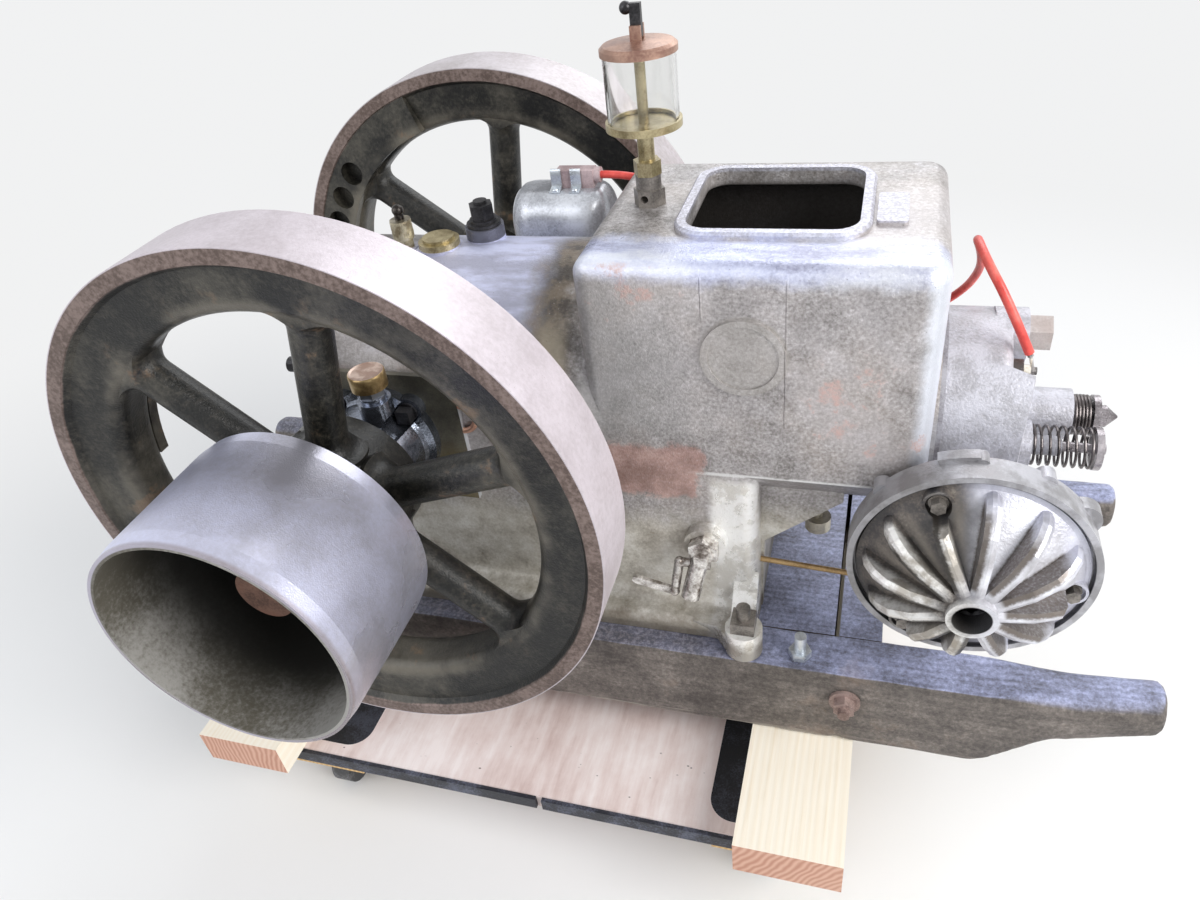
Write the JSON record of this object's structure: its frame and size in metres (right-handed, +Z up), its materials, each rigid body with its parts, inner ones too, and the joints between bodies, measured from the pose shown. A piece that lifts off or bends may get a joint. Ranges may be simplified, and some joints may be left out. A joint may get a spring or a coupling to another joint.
{
  "type": "stationary kerosene engine",
  "caption": "Small hopper-cooled stationary engine with spoked flywheels and belt pulley, on timber carrying skids, bearers and a castor board.",
  "frame": {"origin": "centre of the overall box, at the level the castors stand on", "axes": "+X from the crank towards the cylinder head, +Y from the belt pulley side to the other side, +Z up"},
  "size_m": [0.969, 0.625, 0.7135],
  "materials": {
    "worn_iron": "bare worn casting with rust bloom and traces of red paint",
    "green_iron": "dark green paint, worn, rim faces machined",
    "pulley_iron": "dark worn casting",
    "silencer_iron": "bare grey casting",
    "steel": "dull oily steel",
    "brass": "handled, slightly tarnished",
    "copper": "tarnished copper",
    "glass": "clear",
    "gasket": "dark pressed sheet",
    "magneto_grey": "dull die casting",
    "bakelite": "moulded",
    "porcelain": "glazed",
    "red_lead": "smooth sleeve",
    "skid_timber": "old oiled timber",
    "pine": "new sawn pine",
    "plywood": "plain board",
    "black_rubber": "matt",
    "zinc": "zinc plated",
    "grey_tread": "moulded"
  },
  "bodies": {
    "engine": {"bearers": "pine", "bearing_plates": "worn_iron", "bearing_screws": "steel", "board_battens": "plywood", "breather_nut": "steel", "castor_board": "plywood", "castor_plates": "zinc", "control_rod": "brass", "cross_timbers": "skid_timber", "cylinder_head": "worn_iron", "drain_cock_body": "brass", "edge_strips": "black_rubber", "engine_block": "worn_iron", "filler_cap": "brass", "foot_nuts": "steel", "grip_pads": "black_rubber", "head_gasket": "gasket", "head_plug": "steel", "hopper_drain": "brass", "ignition_lead": "red_lead", "loose_bolt": "zinc", "magneto_body": "magneto_grey", "magneto_tower": "bakelite", "main_bearings": "worn_iron", "oil_cups": "brass", "oil_pipe": "copper", "oiler_base": "brass", "oiler_cap": "copper", "oiler_glass": "glass", "oiler_stand": "steel", "priming_tap": "brass", "side_knob": "steel", "silencer_back": "silencer_iron", "silencer_bolts": "steel", "silencer_cover": "silencer_iron", "skids": "skid_timber", "spark_plug": "porcelain", "tie_bolts": "steel", "valve_springs": "steel", "valves": "steel"},
    "crank": {"crankshaft": "steel", "near_flywheel": "green_iron", "far_flywheel": "green_iron", "belt_pulley": "pulley_iron"},
    "toggle": {"oiler_toggle": "brass"},
    "cock_key": {"drain_cock_key": "brass"},
    "fork_left_near": {"castor_fork_left_near": "zinc"},
    "wheel_left_near": {"castor_wheel_left_near": "grey_tread"},
    "fork_left_far": {"castor_fork_left_far": "zinc"},
    "wheel_left_far": {"castor_wheel_left_far": "grey_tread"},
    "fork_right_near": {"castor_fork_right_near": "zinc"},
    "wheel_right_near": {"castor_wheel_right_near": "grey_tread"},
    "fork_right_far": {"castor_fork_right_far": "zinc"},
    "wheel_right_far": {"castor_wheel_right_far": "grey_tread"}
  },
  "joints": [
    {"name": "crank_spin", "type": "hinge", "parent": "engine", "child": "crank", "pos_m": [-0.1545, 0.0445, 0.404], "axis": [0, 1, 0], "continuous": true},
    {"name": "oiler_toggle_flip", "type": "hinge", "parent": "engine", "child": "toggle", "pos_m": [0.0665, 0.0505, 0.694], "axis": [0, 1, 0], "range_deg": [0, 90]},
    {"name": "drain_cock_turn", "type": "hinge", "parent": "engine", "child": "cock_key", "pos_m": [0.119, -0.08, 0.305], "axis": [-1, 0, 0], "range_deg": [0, 90]},
    {"name": "castor_swivel_left_near", "type": "hinge", "parent": "engine", "child": "fork_left_near", "pos_m": [-0.2595, -0.1325, 0.054], "axis": [0, 0, 1], "continuous": true},
    {"name": "castor_roll_left_near", "type": "hinge", "parent": "fork_left_near", "child": "wheel_left_near", "pos_m": [-0.2595, -0.1545, 0.025], "axis": [1, 0, 0], "continuous": true},
    {"name": "castor_swivel_left_far", "type": "hinge", "parent": "engine", "child": "fork_left_far", "pos_m": [-0.2595, 0.2215, 0.054], "axis": [0, 0, 1], "continuous": true},
    {"name": "castor_roll_left_far", "type": "hinge", "parent": "fork_left_far", "child": "wheel_left_far", "pos_m": [-0.2595, 0.1995, 0.025], "axis": [1, 0, 0], "continuous": true},
    {"name": "castor_swivel_right_near", "type": "hinge", "parent": "engine", "child": "fork_right_near", "pos_m": [0.1865, -0.1325, 0.054], "axis": [0, 0, 1], "continuous": true},
    {"name": "castor_roll_right_near", "type": "hinge", "parent": "fork_right_near", "child": "wheel_right_near", "pos_m": [0.1865, -0.1545, 0.025], "axis": [1, 0, 0], "continuous": true},
    {"name": "castor_swivel_right_far", "type": "hinge", "parent": "engine", "child": "fork_right_far", "pos_m": [0.1865, 0.2215, 0.054], "axis": [0, 0, 1], "continuous": true},
    {"name": "castor_roll_right_far", "type": "hinge", "parent": "fork_right_far", "child": "wheel_right_far", "pos_m": [0.1865, 0.1995, 0.025], "axis": [1, 0, 0], "continuous": true}
  ]
}
